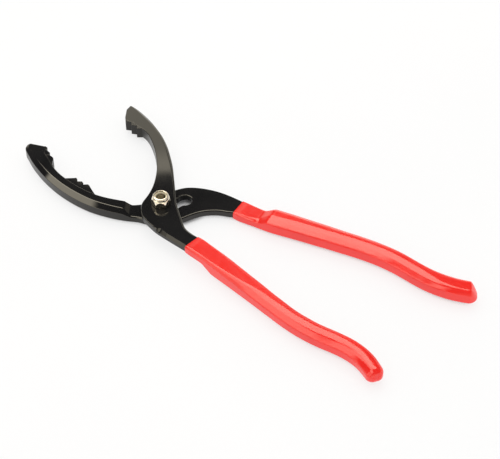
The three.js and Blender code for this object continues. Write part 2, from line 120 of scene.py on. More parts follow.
# Plate: outer edge x, y; inner edge x, y.
LOWER_PLATE = [
    (-22.6, -9.6, -22.0, 4.0), (-16.6, -10.6, -16.0, 4.6), (-11.5, -12.6, -11.2, 5.9),
    (-5.5, -15.0, -6.0, 9.6), (1.5, -15.9, 0.0, 14.8), (8.5, -14.7, 5.6, 19.0),
    (14.5, -12.0, 11.6, 21.9), (19.7, -9.0, 17.0, 23.7), (24.8, -6.1, 22.8, 24.0),
    (31.2, -3.7, 29.6, 23.1), (38.4, -2.8, 37.6, 20.9), (44.8, -3.2, 45.4, 17.6),
    (49.6, -4.4, 53.2, 13.0),
]
# The upper jaw's rows add the bottom bevel on the outer edge as width, drop.
UPPER_JAW = [
    (-29.8, 118.2, -33.0, 112.7, 0.6, 0.5, 0.8, 0.6),
    (-25.6, 114.9, -33.3, 106.4, 1.4, 0.9, 2.4, 1.4),
    (-20.6, 109.3, -32.7, 99.3, 1.8, 1.1, 3.6, 2.0),
    (-16.2, 103.6, -27.8, 96.6, 2.0, 1.2, 3.9, 2.1),
    (-11.8, 97.0, -23.4, 91.9, 2.0, 1.2, 4.0, 2.1),
    (-8.0, 90.2, -18.4, 87.6, 2.0, 1.2, 4.0, 2.1),
    (-3.8, 81.9, -13.3, 79.6, 2.0, 1.2, 4.0, 2.1),
    (0.0, 72.4, -9.9, 70.0, 2.0, 1.2, 4.0, 2.1),
    (2.8, 63.0, -7.6, 61.0, 2.0, 1.2, 4.2, 2.1),
    (5.0, 53.2, -6.2, 52.0, 2.0, 1.2, 4.4, 2.1),
    (6.6, 45.0, -5.4, 44.4, 1.8, 1.1, 4.4, 2.1),
    (7.5, 38.4, -5.2, 38.2, 1.5, 1.0, 4.4, 2.1),
]
UPPER_STEP = [(8.2, 31.8, -5.5, 31.8)]
UPPER_PLATE = [
    (8.9, 25.0, -6.2, 25.2), (9.6, 18.4, -7.4, 18.8), (10.1, 12.2, -9.3, 12.2),
    (10.7, 6.2, -12.0, 5.8), (11.5, 0.4, -14.5, -0.2), (12.9, -5.6, -14.6, -7.2),
    (14.4, -11.4, -13.0, -14.2), (15.8, -16.6, -8.4, -20.8), (17.0, -21.4, -4.0, -26.4),
    (17.9, -24.4, -1.2, -29.3), (19.0, -27.0, 2.2, -32.4), (21.6, -30.4, 6.6, -36.2),
    (25.0, -33.8, 12.0, -40.8),
]
# Whole levers: outer edge x, y; inner edge x, y; bottom; top; top and bottom bevel on the
# outer edge, each as width, drop.
LOWER = stations(LOWER_JAW, LOW0, LOW_JAW, EDGE, EDGE)
LOWER += stations(LOWER_PLATE, LOW0, LOW_PLATE, 0.9, 0.6, EDGE, EDGE)
UPPER = stations(UPPER_JAW, UP_JAW0, UP1)
UPPER += stations(UPPER_STEP, UP0, UP1, 1.2, 0.8, EDGE, EDGE)
UPPER += stations(UPPER_PLATE, UP0, UP1, 1.0, 0.6, EDGE, EDGE)

# Handle cores: centre x, y; direction in degrees; width. The necks are as thick as the
# plate, the bars thicker.
LOWER_NECK = [
    (57.3, 1.3, -30, 14.4), (64.0, -3.2, -30, 13.5), (71.5, -7.6, -29, 13.0),
    (74.8, -9.4, -27, 13.3),
]
LOWER_BAR = [
    (81.8, -12.9, -24, 15.0), (89.0, -16.1, -24, 15.4), (98.8, -20.5, -24, 15.0),
    (107.2, -24.3, -24.3, 14.6), (116.2, -28.4, -24.5, 14.4), (125.1, -32.5, -24.8, 13.9),
    (135.2, -37.3, -25, 13.5), (143.4, -41.1, -25.5, 13.3), (153.8, -46.4, -29, 13.1),
    (163.6, -52.3, -33, 12.9), (171.8, -58.3, -38.5, 12.7), (179.6, -65.0, -41, 12.4),
    (186.4, -71.0, -39, 12.4), (193.2, -76.1, -34, 12.8), (201.6, -80.9, -27, 13.2),
    (208.9, -84.2, -20, 13.1), (215.6, -86.4, -15, 12.9), (220.6, -87.6, -7, 12.8),
]
UPPER_NECK = [(24.1, -42.0, -43, 13.4), (30.4, -47.9, -43.5, 13.0), (36.6, -54.0, -45, 12.8)]
UPPER_BAR = [
    (43.6, -61.0, -47, 13.1), (51.9, -69.7, -47, 12.8), (59.1, -77.3, -46.8, 12.4),
    (65.5, -84.2, -47, 12.1), (72.5, -91.7, -47, 11.8), (79.0, -98.9, -47.5, 11.4),
    (85.9, -106.2, -46, 11.2), (91.9, -112.5, -44, 11.0), (99.0, -119.0, -40, 11.2),
    (106.0, -124.6, -36.5, 11.2), (114.3, -130.2, -32.5, 11.3), (123.4, -135.5, -31.5, 11.2),
    (132.6, -141.7, -37, 11.2), (139.8, -148.5, -47, 11.2), (144.4, -154.9, -57, 11.2),
    (148.1, -162.4, -72, 10.9),
]
LOWER_CORE = stations(LOWER_NECK, LOW0, LOW_PLATE) + stations(LOWER_BAR, LOW0, LOW_BAR)
UPPER_CORE = stations(UPPER_NECK, UP0, UP1) + stations(UPPER_BAR, UP_BAR0, UP1)

# Tooth outlines in plan; the last points of each lie inside the jaw.
LOWER_TEETH = [
    [(-93.3, 68.0), (-91.7, 66.4), (-92.0, 64.0), (-93.4, 63.0), (-97, 62), (-98, 68)],
    [(-92.6, 63.4), (-90.9, 62.3), (-89.2, 60.4), (-89.0, 58.6), (-90.2, 57.2), (-95, 57),
     (-96, 62)],
    [(-89.8, 57.4), (-87.7, 56.3), (-85.9, 54.1), (-85.6, 52.0), (-86.2, 49.6),
     (-86.0, 46.8), (-85.0, 44.0), (-90, 44), (-94, 52)],
    [(-74.2, 29.9), (-67.0, 30.3), (-65.9, 30.6), (-65.0, 28.6), (-64.7, 25.4), (-66, 20),
     (-75, 26)],
    [(-65.3, 26.4), (-61.2, 26.3), (-60.1, 24.4), (-59.8, 21.8), (-62, 16), (-67, 21)],
    [(-60.4, 22.6), (-56.4, 23.0), (-55.0, 21.2), (-54.0, 18.2), (-50.2, 11.6), (-54, 10),
     (-62, 16)],
]
UPPER_TEETH = [
    [(-33.2, 102.0), (-32.8, 97.6), (-28.1, 96.8), (-26, 101), (-29, 104)],
    [(-28.3, 98.0), (-28.1, 92.7), (-23.7, 92.0), (-21, 96), (-25, 100)],
    [(-23.8, 93.0), (-23.6, 88.3), (-17.8, 88.2), (-15.5, 85.4), (-12, 87), (-17, 94)],
]

# Corner bevels of the grips: distance from the mouth; near lower, far lower, far upper and
# near upper bevel, each as width, drop; how soft the corners are.
LOWER_CORNERS = [
    (0, 0.9, 0.9, 0.9, 0.9, 1.0, 0.9, 1.5, 1.1, 0.6),
    (14, 1.1, 1.0, 1.1, 1.0, 1.1, 1.0, 1.7, 1.2, 0.8),
    (19, 1.3, 1.2, 1.3, 1.2, 1.5, 1.2, 3.4, 1.5, 1.0),
    (29, 1.9, 1.8, 1.9, 1.8, 3.6, 1.5, 8.6, 2.1, 1.5),
    (60, 2.2, 2.1, 2.2, 2.1, 3.9, 1.6, 8.9, 2.2, 1.7),
    (110, 2.3, 2.2, 2.3, 2.2, 3.6, 1.6, 8.8, 2.3, 1.9),
    (130, 2.3, 2.2, 2.3, 2.2, 2.6, 1.6, 8.4, 2.8, 1.9),
    (150, 2.3, 2.2, 2.3, 2.2, 2.2, 1.6, 8.2, 3.0, 1.9),
    (158, 2.3, 2.2, 2.3, 2.2, 2.6, 1.8, 7.2, 2.9, 1.8),
    (168, 2.3, 2.2, 2.3, 2.2, 3.2, 1.9, 4.6, 2.9, 1.7),
    (180, 2.3, 2.2, 2.3, 2.2, 2.8, 1.9, 3.3, 2.9, 1.6),
    (196, 2.3, 2.2, 2.3, 2.2, 2.6, 1.9, 3.1, 2.9, 1.6),
]
UPPER_CORNERS = [
    (0, 0.9, 0.9, 0.9, 0.9, 1.0, 0.9, 1.9, 1.4, 0.6),
    (12, 1.0, 1.0, 1.1, 1.0, 1.1, 1.0, 1.7, 1.5, 0.9),
    (20, 1.3, 1.2, 1.3, 1.2, 1.4, 1.2, 1.7, 1.7, 1.1),
    (30, 1.9, 1.8, 1.9, 1.8, 1.8, 1.4, 2.1, 2.0, 1.5),
    (50, 2.1, 2.0, 2.1, 2.0, 2.2, 1.6, 3.4, 2.6, 1.8),
    (72, 2.3, 2.2, 2.3, 2.2, 2.4, 1.7, 6.6, 3.4, 1.9),
    (110, 2.3, 2.2, 2.3, 2.2, 2.4, 1.8, 7.7, 3.4, 2.0),
    (135, 2.3, 2.2, 2.3, 2.2, 2.4, 1.9, 7.8, 3.5, 2.0),
    (150, 2.3, 2.2, 2.3, 2.2, 2.6, 2.1, 6.7, 3.8, 2.3),
    (164, 2.4, 2.3, 2.4, 2.3, 3.0, 2.5, 5.9, 4.0, 3.0),
    (176, 2.6, 2.5, 2.6, 2.5, 3.6, 3.2, 5.4, 4.2, 3.4),
]

# Wide bevel on the inner edge of the upper plate: x, y, width.
NOTCH = np.array([
    (-1.3, -27.5, 0.3), (-0.6, -28.6, 1.9), (0.6, -30.4, 2.1), (4.9, -34.8, 2.0),
    (9.5, -38.7, 2.0), (14.1, -42.6, 2.0), (18.9, -46.7, 1.9), (22.5, -50.1, 1.7),
])
NOTCH_OUT = 2  # how far its cutter reaches past the edge
NOTCH_DROP = 3.8  # how deep the cutter is there


# ---- curves ------------------------------------------------------------------------
def spline(knots, values, at):
    """Natural cubic spline through the columns of values."""
    count = len(knots)
    step = np.diff(knots)
    matrix = np.zeros((count, count))
    right = np.zeros((count, values.shape[1]))
    matrix[0, 0] = matrix[-1, -1] = 1
    for i in range(1, count - 1):
        matrix[i, i - 1 : i + 2] = step[i - 1], 2 * (step[i - 1] + step[i]), step[i]
        rise_after = (values[i + 1] - values[i]) / step[i]
        rise_before = (values[i] - values[i - 1]) / step[i - 1]
        right[i] = 6 * (rise_after - rise_before)
    bend = np.linalg.solve(matrix, right)
    k = np.clip(np.searchsorted(knots, at) - 1, 0, count - 2)
    past = (at - knots[k])[:, None]
    ahead = (knots[k + 1] - at)[:, None]
    width = step[k][:, None]
    return (
        bend[k] * ahead**3 / (6 * width)
        + bend[k + 1] * past**3 / (6 * width)
        + (values[k] / width - bend[k] * width / 6) * ahead
        + (values[k + 1] / width - bend[k + 1] * width / 6) * past
    )


def soften(values, spacing, sigma):
    """Gaussian smoothing along evenly spaced samples that keeps the two ends."""
    reach = max(1, int(3 * sigma / spacing))
    kernel = np.exp(-0.5 * (np.arange(-reach, reach + 1) * spacing / sigma) ** 2)
    kernel /= kernel.sum()
    out = np.empty_like(values)
    for c in range(values.shape[1]):
        v = values[:, c]
        before = 2 * v[0] - v[reach:0:-1]
        after = 2 * v[-1] - v[-2 : -reach - 2 : -1]
        out[:, c] = np.convolve(np.concatenate([before, v, after]), kernel, "valid")
    return out


def distances(points):
    """Distance of each point from the first, along the line through them."""
    return np.concatenate([[0], np.cumsum(np.hypot(*np.diff(points, axis=0).T))])


def dense(rows, paired, plan_sigma, rest_sigma):
    """Evenly spaced rows and their distances. The first four columns follow a smooth
    curve, the rest ramp. Paired rows start with two edge points, others with a centre."""
    table = np.array(rows, float)
    middle = (table[:, 0:2] + table[:, 2:4]) / 2 if paired else table[:, :2]
    knots = distances(middle)
    at = np.linspace(0, knots[-1], int(round(knots[-1] / STATION_GAP)) + 1)
    plan = spline(knots, table[:, :4], at)
    rest = np.column_stack([np.interp(at, knots, column) for column in table[:, 4:].T])
    gap = at[1] - at[0]
    return np.column_stack([soften(plan, gap, plan_sigma), soften(rest, gap, rest_sigma)]), at


def quarter(steps):
    """Angles from 0 to a right angle."""
    return [math.radians(90 * k / steps) for k in range(steps + 1)]


def fillet(points, radii, steps):
    """A closed convex polygon with each corner rounded to steps + 1 points."""
    out = []
    for i, radius in enumerate(radii):
        corner = np.array(points[i], float)
        back = np.array(points[i - 1], float) - corner
        ahead = np.array(points[(i + 1) % len(points)], float) - corner
        back_length, ahead_length = np.linalg.norm(back), np.linalg.norm(ahead)
        back, ahead = back / back_length, ahead / ahead_length
        half = 0.5 * math.acos(float(np.clip(back @ ahead, -1, 1)))
        reach = min(radius / math.tan(half), 0.47 * back_length, 0.47 * ahead_length)
        r = reach * math.tan(half)
        bisector = (back + ahead) / np.linalg.norm(back + ahead)
        centre = corner + bisector * (r / math.sin(half))
        start, end = corner + back * reach - centre, corner + ahead * reach - centre
        turn = math.atan2(start[0] * end[1] - start[1] * end[0], start @ end)
        for k in range(steps + 1):
            c, s = math.cos(turn * k / steps), math.sin(turn * k / steps)
            out.append(centre + (start[0] * c - start[1] * s, start[0] * s + start[1] * c))
    return np.array(out)


def offset(points, inset):
    """A counter-clockwise polygon moved inwards."""
    out = []
    for i, point in enumerate(points):
        before, after = points[i - 1], points[(i + 1) % len(points)]
        u = (point - before) / max(np.linalg.norm(point - before), 1e-9)
        v = (after - point) / max(np.linalg.norm(after - point), 1e-9)
        normal = np.array([-u[1], u[0]])
        mitre = normal + np.array([-v[1], v[0]])
        mitre = mitre / max(np.linalg.norm(mitre), 1e-9)
        out.append(point + mitre * inset / max(mitre @ normal, 0.5))
    return np.array(out)


def rim_curve(z0, z1, radius, steps):
    """(inset, z) up a wall whose two rims are rounded."""
    turn = [(radius * (1 - math.sin(f)), radius * (1 - math.cos(f))) for f in quarter(steps)]
    return [(d, z0 + h) for d, h in turn] + [(d, z1 - h) for d, h in reversed(turn)]


# ---- meshes ------------------------------------------------------------------------
def make(name, verts, faces):
    """An object from points in millimetres, its faces turned outwards. The booleans need
    it to stay in millimetres until tidy()."""
    mesh = bpy.data.meshes.new(name)
    mesh.from_pydata([tuple(float(c) for c in v) for v in verts], [], faces)
    mesh.validate()
    volume = 0.0
    for polygon in mesh.polygons:
        points = [mesh.vertices[i].co for i in polygon.vertices]
        for k in range(1, len(points) - 1):
            volume += points[0].dot(points[k].cross(points[k + 1]))
    if volume < 0:
        mesh.flip_normals()
    obj = bpy.data.objects.new(name, mesh)
    bpy.context.scene.collection.objects.link(obj)
    return obj


def loft(name, rings):
    """A solid through rings of equal point count, closed at both ends."""
    size = len(rings[0])
    last = (len(rings) - 1) * size
    faces = []
    for a in range(0, last, size):
        for j in range(size):
            k = (j + 1) % size
            faces.append((a + j, a + k, a + size + k, a + size + j))
    faces.append(tuple(reversed(range(size))))
    faces.append(tuple(range(last, last + size)))
    return make(name, np.concatenate(rings), faces)


def lathe(name, profile, segments, x=0.0, y=0.0, wave=None):
    """A turned solid; the profile is (radius, height) and starts and ends on the axis,
    or closes on itself. wave(radius, height, angle) may move a point's radius."""
    closed = profile[0][0] > 1e-6
    verts, faces, rows = [], [], []
    for r, z in profile:
        if r < 1e-6:
            rows.append([len(verts)])
            verts.append((x, y, z))
            continue
        rows.append(list(range(len(verts), len(verts) + segments)))
        for k in range(segments):
            a = 2 * math.pi * k / segments
            moved = wave(r, z, a) if wave else r
            verts.append((x + moved * math.cos(a), y + moved * math.sin(a), z))
    for a, b in zip(rows, rows[1:] + rows[:1] if closed else rows[1:]):
        for k in range(segments):
            j = (k + 1) % segments
            if len(a) == 1:
                faces.append((a[0], b[k], b[j]))
            elif len(b) == 1:
                faces.append((a[k], b[0], a[j]))
            else:
                faces.append((a[k], b[k], b[j], a[j]))
    return make(name, verts, faces)


def prism(name, points, z0, z1, rim=0, corner=0, steps=3):
    """A straight prism with optional rounded rims and rounded corners in plan."""
    p = np.array(points, float)
    area = 0.5 * sum(p[i - 1][0] * p[i][1] - p[i][0] * p[i - 1][1] for i in range(len(p)))
    if area < 0:
        p = p[::-1]
    if corner:
        p = fillet(p, [corner] * len(p), steps)
    curve = rim_curve(z0, z1, rim, steps) if rim else [(0, z0), (0, z1)]
    rings = [np.column_stack([offset(p, inset), np.full(len(p), z)]) for inset, z in curve]
    return loft(name, rings)


def combine(target, tools, operation):
    """Boolean with each tool in turn; the tools are used up."""
    for tool in tools:
        cut = target.modifiers.new("cut", "BOOLEAN")
        cut.operation, cut.object, cut.solver = operation, tool, "MANIFOLD"
        bpy.context.view_layer.update()
        graph = bpy.context.evaluated_depsgraph_get()
        result = bpy.data.meshes.new_from_object(target.evaluated_get(graph))
        target.modifiers.clear()
        target.data = result
        bpy.data.objects.remove(tool)


def tidy(obj, sharp_angle=30):
    """Merge doubled points, go to metres, smooth the curved faces and weight normals to
    the flat ones."""
    bm = bmesh.new()
    bm.from_mesh(obj.data)
    bmesh.ops.remove_doubles(bm, verts=bm.verts, dist=0.0001)
    bmesh.ops.dissolve_degenerate(bm, edges=bm.edges, dist=0.0001)
    loose = [e for e in bm.edges if not e.link_faces]
    bmesh.ops.delete(bm, geom=loose, context="EDGES")
    bmesh.ops.scale(bm, vec=(MM, MM, MM), verts=bm.verts)
    bm.to_mesh(obj.data)
    bm.free()
    obj.data.shade_smooth()
    obj.data.set_sharp_from_angle(angle=math.radians(sharp_angle))
    normals = obj.modifiers.new("normals", "WEIGHTED_NORMAL")
    normals.keep_sharp = True
    normals.weight = 50
    return obj


# ---- lever and handle sections ---------------------------------------------------------
def section(row, fold=False):
    """One ring of a lever or grip, whose outer upper bevel may be folded in two. row:
    outer x, y; inner x, y; bottom; top; then the corner bevels as width, drop (outer
    lower, inner lower, inner upper, outer upper); then how soft the corners are."""
    ox, oy, ix, iy, z0, z1 = row[:6]
    # a to d: width and drop of the four bevels, in the order above
    (aw, ah), (bw, bh), (cw, ch), (dw, dh) = np.reshape(row[6:14], (4, 2))
    soft = row[14]
    w = math.hypot(ix - ox, iy - oy)
    ux, uy = (ix - ox) / w, (iy - oy) / w
    outline = [
        (aw, z0), (w - bw, z0), (w, z0 + bh), (w, z1 - ch),
        (w - cw, z1), (dw, z1), (0, z1 - dh), (0, z0 + ah),
    ]
    softness = (1, 1, 1, 1, 1, 5, 1, 1)
    if fold:
        outline.insert(6, (0.54 * dw, z1 - 0.30 * dh))
        softness = (1, 1, 1, 1.4, 2.5, 3, 3, 0.8, 1)
    ring = fillet(outline, [soft * k for k in softness], 4)
    return np.column_stack([ox + ux * ring[:, 0], oy + uy * ring[:, 0], ring[:, 1]])


def lever_row(row):
    """A lever station as a row for section()."""
    *edges_and_heights, top_w, top_h, bottom_w, bottom_h = row
    inner = [INNER_BEVEL] * 4
    return (*edges_and_heights, bottom_w, bottom_h, *inner, top_w, top_h, LEVER_SOFT)


def slim(bevels, inset):
    """Corner bevels of the same section moved inwards."""
    out = []
    for w, h in np.reshape(bevels, (4, 2)):
        k = 1 - inset * (1 / w + 1 / h - math.sqrt(1 / w**2 + 1 / h**2))
        out += [max(0.2, k * w), max(0.2, k * h)]
    return out


def handle_row(core, bevels, soft, grow, side):
    """A handle station as a row for section(). The bevels are for the outside of the grip,
    as in the corner tables; near is to the right of the core's direction. grow is measured
    from the steel; side is -1 where the outer edge is near, 1 where it is far."""
    x, y, degrees, width, z0, z1 = core
    a = math.radians(degrees)
    nx, ny = -math.sin(a), math.cos(a)
    c = slim(bevels, COAT - grow) if grow < COAT else list(bevels)
    if side > 0:
        c = c[2:4] + c[0:2] + c[6:8] + c[4:6]
    h = side * (width / 2 + grow)
    return (x + nx * h, y + ny * h, x - nx * h, y - ny * h, z0 - grow, z1 + grow, *c, soft)


def corner_rows(table, at):
    """Bevels and softness at the given distances from the mouth."""
    t, *columns = np.array(table, float).T
    return np.column_stack([np.interp(at, t, column) for column in columns])


# ---- levers ----------------------------------------------------------------------------
def rounded_end(ring, following, radius=0.8, steps=4):
    """Rings that round the rim of an end face, the face itself staying in place."""
    centre = ring.mean(0)
    along = (following.mean(0) - centre) / np.linalg.norm(following.mean(0) - centre)
    arm = ring - centre
    size = np.linalg.norm(arm, axis=1, keepdims=True)
    out = []
    for f in quarter(steps)[:-1]:
        inset = np.minimum(radius * (1 - math.sin(f)), 0.4 * size)
        out.append(centre + arm * (1 - inset / size) + along * (radius * (1 - math.cos(f))))
    return out


def lever(name, rows, core, side, corners):
    bevels = corner_rows(corners, distances(np.array(core, float)[:, :2]))
    table = [lever_row(row) for row in rows]
    for i, (station, c) in enumerate(zip(core, bevels)):
        soft = min(c[8], LEVER_SOFT + 0.3 * i)
        grow = 0.0 if i == 0 else -STEEL_SHRINK
        table.append(handle_row(station, c[:8], soft, grow, side))
    fine, _ = dense(table, paired=True, plan_sigma=1.5, rest_sigma=0.55)
    rings = [section(row) for row in fine]
    first = rounded_end(rings[0], rings[1])
    last = rounded_end(rings[-1], rings[-2])[::-1]
    return loft(name, first + rings[1:-1] + last)


def teeth(outlines, z0, z1):
    out = []
    for i, outline in enumerate(outlines):
        low = z0 + TOOTH_INSET + TOOTH_STAGGER * i
        high = z1 - TOOTH_INSET - TOOTH_STAGGER * i
        out.append(prism(f"tooth{i}", outline, low, high, TOOTH_RIM, TOOTH_CORNER))
    return out


def flared(half, z0, z1, flare):
    """Wall of a cutter whose ends flare, so that the hole it leaves has rounded rims."""
    wall = [(half + inset, z) for inset, z in rim_curve(z0, z1, flare, 5)]
    return [(half + flare, z0 - CUT_PAST), *wall, (half + flare, z1 + CUT_PAST)]


def round_cutter(name, radius, z0, z1, x, y, flare):
    profile = [(0, z0 - CUT_PAST), *flared(radius, z0, z1, flare), (0, z1 + CUT_PAST)]
    return lathe(name, profile, 96, x, y)


def slot_point(along, across):
    """Plan point measured along and across the slot."""
    c, s = SLOT_DIR
    return (c * along - s * across, s * along + c * across)


def channel_cutter():
    """The straight waist of the slot."""
    side = flared(CHANNEL_HALF, LOW0, LOW_PLATE, SLOT_FLARE)
    outline = side + [(-h, z) for h, z in reversed(side)]
    rings = [
        np.array([(*slot_point(t, h), z) for h, z in outline]) for t in (0.0, SLOT_LENGTH)
    ]
    return loft("channel", rings)


def notch_cutter():
    """Sloped cutter along the inner edge of the upper plate, towards the handle."""
    rings = []
    for i, (x, y, width) in enumerate(NOTCH):
        before, after = NOTCH[max(i - 1, 0)], NOTCH[min(i + 1, len(NOTCH) - 1)]
        u = (after[:2] - before[:2]) / np.linalg.norm(after[:2] - before[:2])
        normal = np.array([-u[1], u[0]])
        corners = (
            (width, UP1),
            (width, UP1 + CUT_PAST),
            (-NOTCH_OUT, UP1 + CUT_PAST),
            (-NOTCH_OUT, UP1 - NOTCH_DROP),
        )
        rings.append(np.array([(*(np.array([x, y]) + normal * s), z) for s, z in corners]))
    return loft("notch", rings)


def build_lower():
    body = lever("lower_lever_steel", LOWER, LOWER_CORE, -1, LOWER_CORNERS)
    combine(body, teeth(LOWER_TEETH, LOW0, LOW_JAW), "UNION")
    cutters = []
    for i in range(POCKETS):
        x, y = slot_point(POCKET_PITCH * i, 0)
        cutters.append(round_cutter(f"pocket{i}", POCKET_R, LOW0, LOW_PLATE, x, y, SLOT_FLARE))
    cutters.append(channel_cutter())
    combine(body, cutters, "DIFFERENCE")
    return tidy(body)


def build_upper():
    body = lever("upper_lever_steel", UPPER, UPPER_CORE, 1, UPPER_CORNERS)
    combine(body, teeth(UPPER_TEETH, UP_JAW0, UP1), "UNION")
    combine(body, [notch_cutter()], "DIFFERENCE")
    combine(body, [round_cutter("hole", HOLE_R, UP0, UP1, 0, 0, HOLE_FLARE)], "DIFFERENCE")
    return tidy(body)


# ---- grips -------------------------------------------------------------------------
LIP_ROLL = 0.12  # how far the lip bulges past the mouth
LIP_RUN = 5.0  # distance over which the coat reaches its full thickness
RIPPLES = ((0.055, 0.11, 0.0), (0.02, 0.33, 7.0))  # height, frequency, shift of the noise
TIP_RINGS = 12


def ripple(ring):
    """Slow ripple of the dipped surface."""
    centre = ring.mean(0)
    for j in range(len(ring)):
        d = sum(h * noise.noise(Vector(ring[j] * f + shift)) for h, f, shift in RIPPLES)
        arm = ring[j] - centre
        ring[j] = ring[j] + arm / max(np.linalg.norm(arm), 1e-6) * d


def press(rings, direction, spot, depth, size):
    """A dimple pressed against the direction, round a spot."""
    for ring in rings:
        pull = depth * np.exp(-((np.linalg.norm(ring - np.array(spot), axis=1) / size) ** 2))
        ring[:, 0] -= direction[0] * pull
        ring[:, 1] -= direction[1] * pull


def grip(name, core, corners, tip, reach, power=2.1, slant=0.0, dimple=None):
    """A dipped coat: an outer skin with a rounded end, an inner skin on the steel, and a
    thin rolled lip where the two meet. tip is how far the end stands past the core; the
    rounding starts at reach from the very end; slant leans the end with height."""
    rows, at = dense(core, paired=False, plan_sigma=2.0, rest_sigma=1.1)
    bevels = soften(corner_rows(corners, at), at[1] - at[0], 2.2)

    def skin(i, grow):
        return section(handle_row(rows[i], bevels[i][:8], bevels[i][8], grow, -1), True)

    def heading(row):
        a = math.radians(row[2])
        return math.cos(a), math.sin(a)

    def shrink(ring, centre, from_end):
        short = 1 - min(from_end, reach) / reach
        return centre + (ring - centre) * max(0.0, 1 - short**power) ** (1 / power)

    inner = [skin(i, COAT_GAP) for i in range(len(rows) - 1, -1, -1)]

    dx, dy = heading(rows[0])
    for f in quarter(4)[1:4]:  # the lip
        ring = skin(0, COAT_GAP + (LIP_COAT - COAT_GAP) * math.sin(f) * 0.9)
        ring[:, 0] -= dx * LIP_ROLL * math.sin(2 * f)
        ring[:, 1] -= dy * LIP_ROLL * math.sin(2 * f)
        inner.append(ring)

    outer = []
    for i in range(len(rows)):
        grow = LIP_COAT + (COAT - LIP_COAT) * min(1.0, (at[i] / LIP_RUN) ** 0.7)
        ring = skin(i, grow)
        outer.append(shrink(ring, ring.mean(0), at[-1] - at[i] + tip))

    dx, dy = heading(rows[-1])
    last = skin(len(rows) - 1, COAT)
    centre = last.mean(0)
    for k in range(1, TIP_RINGS + 1):  # the rounded end, stopping just short of a point
        left = tip * (1 - math.sin(math.radians(90 * k / (TIP_RINGS + 0.4))))
        ring = shrink(last, centre, left)
        push = tip - left + slant * (ring[:, 2] - centre[2]) * (1 - left / tip)
        ring[:, 0] += dx * push
        ring[:, 1] += dy * push
        outer.append(ring)

    for ring in outer:
        ripple(ring)
    if dimple:
        press(outer[-TIP_RINGS - 3 :], (dx, dy), **dimple)
    return tidy(loft(name, inner + outer), 50)


# ---- fastener: profiles are (radius, height) -------------------------------------------
BOLT_HEAD = [
    (0, 0.0), (6.2, 0.0), (6.9, 0.06), (7.4, 0.28), (7.8, 0.66), (7.95, 1.0), (8.0, 1.4),
    (8.0, 2.5), (7.96, 2.75), (7.8, HEAD_T - 0.06), (0, HEAD_T - 0.06),
]
# end of the bolt, above INSERT0
BOLT_TIP = [
    (3.1, 0.95), (2.75, 1.3), (2.5, 1.48), (2.3, 1.5), (0.9, 1.46), (0.5, 1.36), (0, 1.3),
]
# outside of the nut, above NUT0: chamfered foot, hexagon's dome, round collar
NUT_ENVELOPE = [
    (0, 0), (6.2, 0), (6.42, 0.06), (7.2, 0.5), (7.45, 0.78), (7.54, 1.1),
    (7.52, 1.7), (7.44, 2.4), (7.31, 3.1), (7.12, 3.8), (6.87, 4.5),
    (6.57, 5.2), (6.3, 5.75), (6.05, 6.1), (5.86, 6.24), (5.83, 6.4),
    (5.9, 6.6), (5.92, 6.9), (5.88, 7.25), (5.74, 7.6), (5.5, 7.85),
    (5.2, 7.98), (4.9, 8.0), (0, 8.0),
]
NUT_BORE = [
    (0, NUT0 - 1), (4.7, NUT0 - 1), (4.7, NUT0), (4.12, NUT0 + 0.55),
    (4.12, INSERT0 - 0.1), (5.15, INSERT0 - 0.1), (5.15, INSERT1 + 0.1),
    (4.62, INSERT1 + 0.12), (4.5, INSERT1 + 0.3), (4.55, NUT0 + 7.86),
    (4.8, NUT0 + 8.02), (4.9, NUT0 + 9), (0, NUT0 + 9),
]
NYLON_RING = [
    (3.45, INSERT0 + 0.15), (3.6, INSERT0), (4.9, INSERT0), (5.05, INSERT0 + 0.15),
    (5.05, INSERT1 - 0.2), (4.98, INSERT1 - 0.06), (4.8, INSERT1), (4.3, INSERT1 - 0.02),
    (3.98, INSERT1 - 0.1), (3.7, INSERT1 - 0.28), (3.5, INSERT1 - 0.55),
    (3.45, INSERT1 - 0.8),
]
THREAD_STEP = 0.14  # height between rings of the threaded shank


def raised(profile, base):
    return [(r, base + z) for r, z in profile]


def thread(pitch, depth, z0, z1):
    """A wave for lathe(): a helical groove that fades out at z0 and z1."""

    def wave(r, z, a):
        fade = min(1.0, max(0.0, (z - z0) / 0.6)) * min(1.0, max(0.0, (z1 - z) / 0.5))
        turn = (z / pitch - a / (2 * math.pi)) % 1.0
        flank = 1 - abs(2 * turn - 1)
        return r - depth * fade * min(1.0, max(0.0, flank * 1.25 - 0.12))

    return wave


def build_neck():
    """Round neck of the bolt with two flats along the slot."""
    top = LOW_PLATE - 0.1
    profile = [(0, 2.0), (NECK_R, 2.0), (NECK_R, 7.75), (NECK_R - 0.35, top), (0, top)]
    neck = lathe("neck", profile, 96)
    ends = ((-8, -NECK_HALF), (8, -NECK_HALF), (8, NECK_HALF), (-8, NECK_HALF))
    slab = prism("slab", [slot_point(*end) for end in ends], 1.0, 9.5)
    combine(neck, [slab], "INTERSECT")
    return neck


def build_shank():
    foot = LOW_PLATE - 2.0
    shoulder = INSERT0 - 0.15
    profile = [(0, foot)]
    profile += [(SHANK_R, z) for z in np.arange(foot, INSERT0 - 0.2, THREAD_STEP)]
    profile += [(3.9, shoulder), (TIP_R, shoulder + 0.05)]
    profile += [(TIP_R, z) for z in np.arange(INSERT0, INSERT0 + 0.7, THREAD_STEP)]
    profile += raised(BOLT_TIP, INSERT0)
    wave = thread(pitch=1.25, depth=0.42, z0=UP1 - 4.0, z1=INSERT0 + 0.95)
    return lathe("shank", profile, 72, wave=wave)


def build_bolt():
    bolt = lathe("pivot_bolt_steel", BOLT_HEAD, 128)
    combine(bolt, [build_neck(), build_shank()], "UNION")
    return tidy(bolt, 35)


